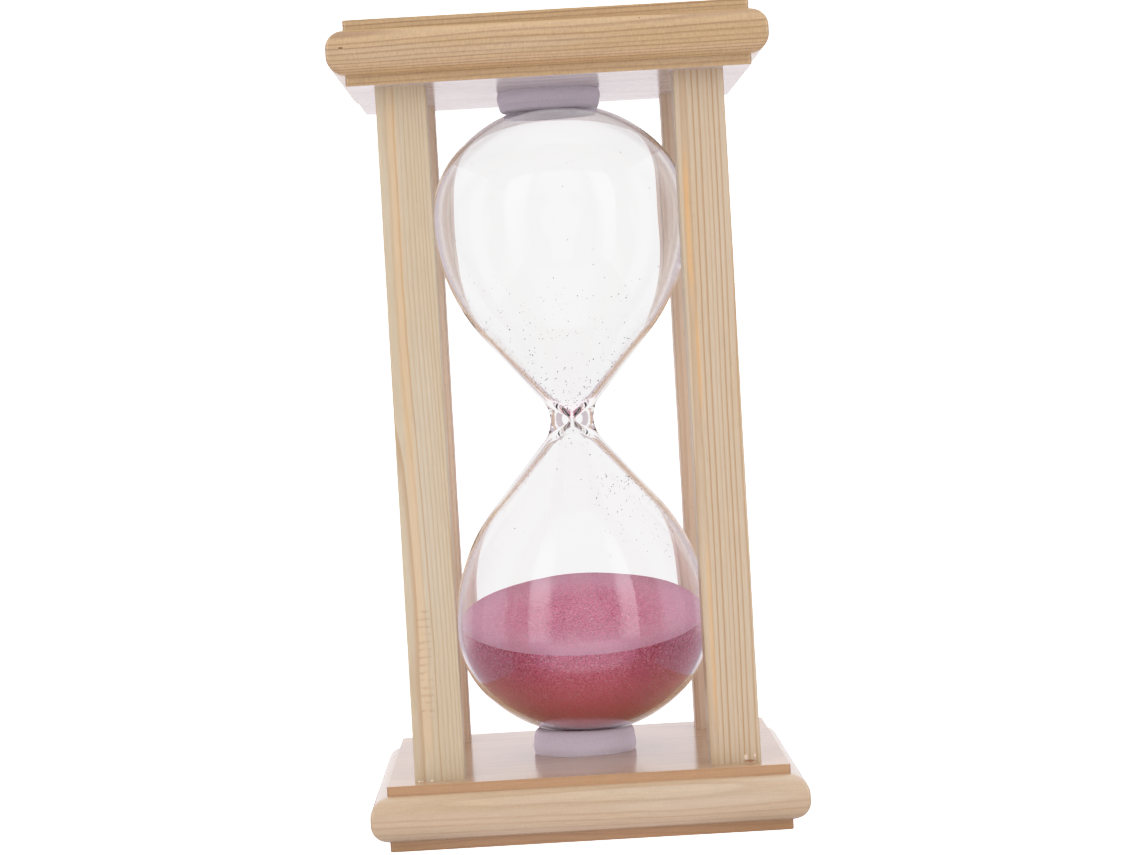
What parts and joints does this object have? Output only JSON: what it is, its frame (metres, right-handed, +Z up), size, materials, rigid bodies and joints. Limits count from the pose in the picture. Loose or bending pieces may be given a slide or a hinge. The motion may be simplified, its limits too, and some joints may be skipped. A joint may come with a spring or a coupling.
{
  "type": "hourglass",
  "caption": "Sand timer: a waisted blown glass with sand, held between foam rings in a square wooden frame of two moulded plates and square posts.",
  "frame": {"origin": "middle of the base plate's underside, on the surface that the timer stands on", "axes": "+Z up along the glass, +X to the right and -Y to the front, square to the plates' edges"},
  "size_m": [0.1, 0.1, 0.189],
  "materials": {
    "pine": "light pine under clear semi-gloss lacquer",
    "dowel_wood": "bare turned hardwood, fluted",
    "clear_glass": "clear blown glass, polished",
    "pink_sand": "fine dyed sand, matte with a sparkle",
    "white_foam": "closed-cell white foam, matte"
  },
  "bodies": {
    "root": {"base_plate": "pine", "top_plate": "pine", "post_front_left": "pine", "post_front_right": "pine", "post_rear_left": "pine", "post_rear_right": "pine", "dowel_base_front_left": "dowel_wood", "dowel_base_front_right": "dowel_wood", "dowel_base_rear_left": "dowel_wood", "dowel_base_rear_right": "dowel_wood", "dowel_top_front_left": "dowel_wood", "dowel_top_front_right": "dowel_wood", "dowel_top_rear_left": "dowel_wood", "dowel_top_rear_right": "dowel_wood", "lower_foam_ring": "white_foam", "upper_foam_ring": "white_foam", "glass_bulb": "clear_glass", "sand": "pink_sand"}
  },
  "joints": []
}
